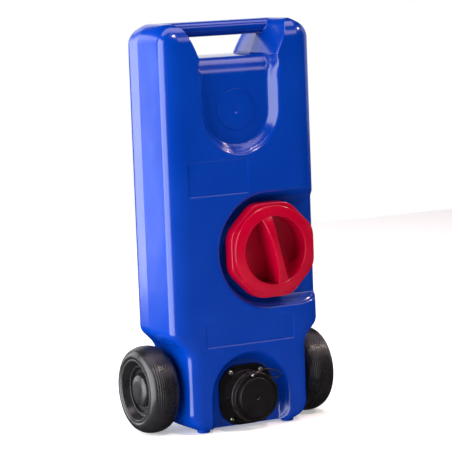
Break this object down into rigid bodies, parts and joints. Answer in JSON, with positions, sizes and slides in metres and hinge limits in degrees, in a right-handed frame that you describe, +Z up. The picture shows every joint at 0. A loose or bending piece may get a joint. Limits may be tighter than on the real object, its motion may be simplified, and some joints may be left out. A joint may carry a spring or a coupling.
{
  "type": "rolling waste water tank",
  "caption": "Upright rolling waste water tank with a built-in handle, a large screw inspection cap, a drain outlet with a leashed bayonet cap, and two wheels.",
  "frame": {"origin": "on the ground, under the middle of the object's overall box", "axes": "+Z up, -Y out of the front face with the caps, +X to the right seen from the front"},
  "size_m": [0.397, 0.2077, 0.768],
  "materials": {
    "tank_plastic": "satin moulded polyethylene",
    "cap_plastic": "semi-gloss moulded polypropylene",
    "outlet_plastic": "satin moulded plastic",
    "wheel_plastic": "satin moulded plastic",
    "tyre_rubber": "smooth rubber with fine turned ribs",
    "seal_rubber": "matt rubber",
    "leash_plastic": "dark soft plastic",
    "fixings": "zinc-plated steel",
    "axle_steel": "bright drawn steel"
  },
  "bodies": {
    "tank": {"tank_front": "tank_plastic", "tank_rear": "tank_plastic", "outlet_flange": "outlet_plastic", "flange_gasket": "seal_rubber", "flange_screws": "fixings", "flange_washers": "fixings", "flange_nuts": "fixings", "leash_anchor": "leash_plastic", "axle": "axle_steel", "axle_washers": "fixings", "push_nuts": "fixings"},
    "wheel_left": {"wheel_rim_left": "wheel_plastic", "tyre_left": "tyre_rubber", "hub_cap_left": "wheel_plastic"},
    "wheel_right": {"wheel_rim_right": "wheel_plastic", "tyre_right": "tyre_rubber", "hub_cap_right": "wheel_plastic"},
    "cap_seat": {"cap_gasket": "seal_rubber"},
    "inspection_cap": {"inspection_cap": "cap_plastic"},
    "outlet_keeper": {"leash_collar": "leash_plastic", "outlet_cap_seal": "seal_rubber", "cap_leash": "leash_plastic"},
    "outlet_cap": {"outlet_cap": "outlet_plastic"}
  },
  "joints": [
    {"name": "wheel_left_spin", "type": "hinge", "parent": "tank", "child": "wheel_left", "pos_m": [-0.166, 0.02115, 0.0827], "axis": [1, 0, 0], "continuous": true},
    {"name": "wheel_right_spin", "type": "hinge", "parent": "tank", "child": "wheel_right", "pos_m": [0.166, 0.02115, 0.0827], "axis": [1, 0, 0], "continuous": true},
    {"name": "cap_lift", "type": "slide", "parent": "tank", "child": "cap_seat", "axis": [0, -1, 0], "range_m": [0, 0.14]},
    {"name": "cap_turn", "type": "hinge", "parent": "cap_seat", "child": "inspection_cap", "pos_m": [0.052, -0.07385, 0.3365], "axis": [0, -1, 0], "range_deg": [0, 540]},
    {"name": "outlet_pull", "type": "slide", "parent": "tank", "child": "outlet_keeper", "axis": [0, -1, 0], "range_m": [0, 0.06]},
    {"name": "outlet_turn", "type": "hinge", "parent": "outlet_keeper", "child": "outlet_cap", "pos_m": [0, -0.08385, 0.063], "axis": [0, -1, 0], "range_deg": [0, 40]}
  ]
}
